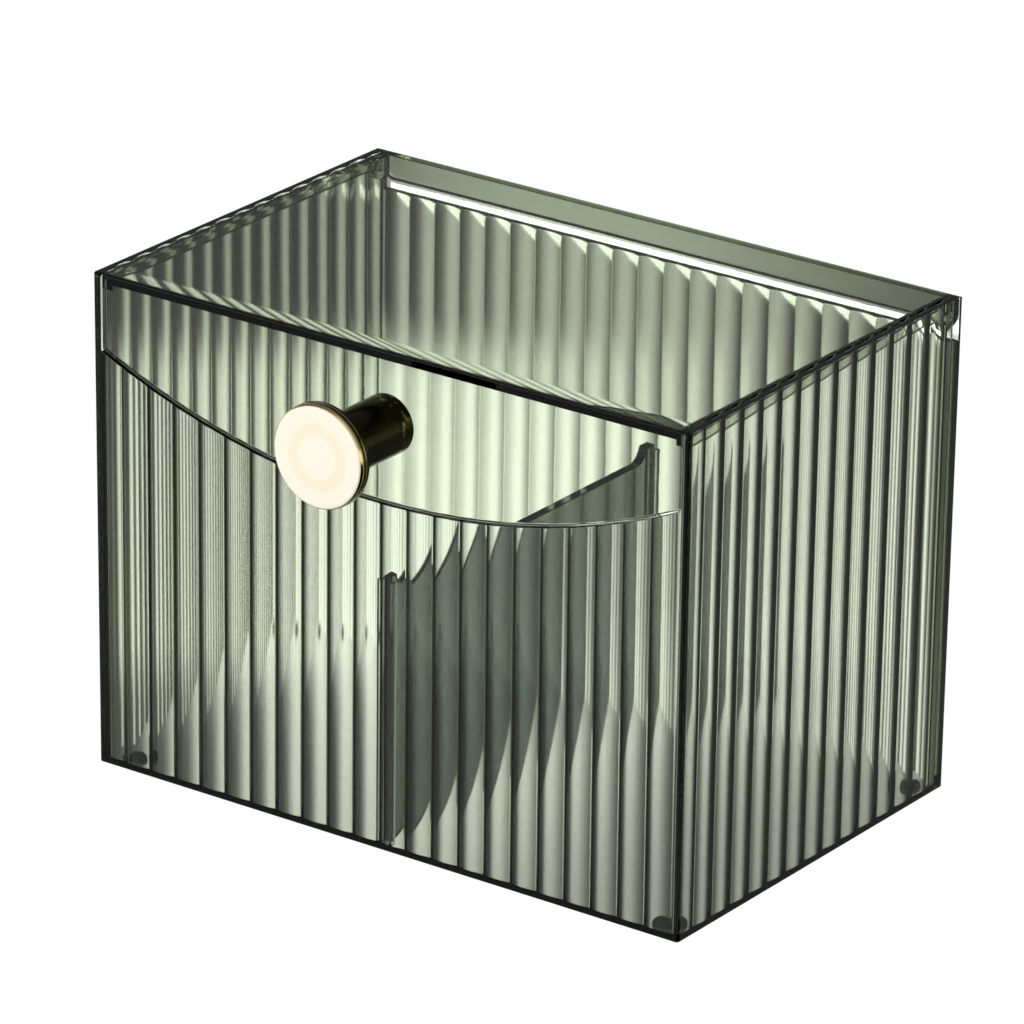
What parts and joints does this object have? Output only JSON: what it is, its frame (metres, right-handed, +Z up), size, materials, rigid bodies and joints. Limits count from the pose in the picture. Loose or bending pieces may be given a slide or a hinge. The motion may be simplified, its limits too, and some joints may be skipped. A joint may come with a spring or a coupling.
{
  "type": "makeup organizer",
  "caption": "Fluted see-through countertop box with a rear-hinged lid whose curved apron closes the front, a mushroom knob on it and a lift-out divider between two compartments.",
  "frame": {"origin": "bottom centre of the whole organizer with its knob, at the plane the feet stand on; 13 mm in front of the middle of the box", "axes": "+X to the box's right side seen from the front, -Y out of the front where the knob stands, +Z up"},
  "size_m": [0.163, 0.1336, 0.121],
  "materials": {
    "smoke_green": "clear polished, tinted smoke green",
    "gold": "polished",
    "zinc_steel": "satin",
    "silicone": "matt, translucent"
  },
  "bodies": {
    "box": {"box_body": "smoke_green", "foot_front_left": "silicone", "foot_front_right": "silicone", "foot_back_left": "silicone", "foot_back_right": "silicone"},
    "lid_assembly": {"lid": "smoke_green", "knob": "gold", "knob_screw": "zinc_steel"},
    "divider_plate": {"divider": "smoke_green"}
  },
  "joints": [
    {"name": "lid_hinge", "type": "hinge", "parent": "box", "child": "lid_assembly", "pos_m": [0, 0.0621, 0.1168], "axis": [-1, 0, 0], "range_deg": [0, 105]},
    {"name": "divider_lift", "type": "slide", "parent": "box", "child": "divider_plate", "axis": [0, 0, 1], "range_m": [0, 0.03]}
  ]
}
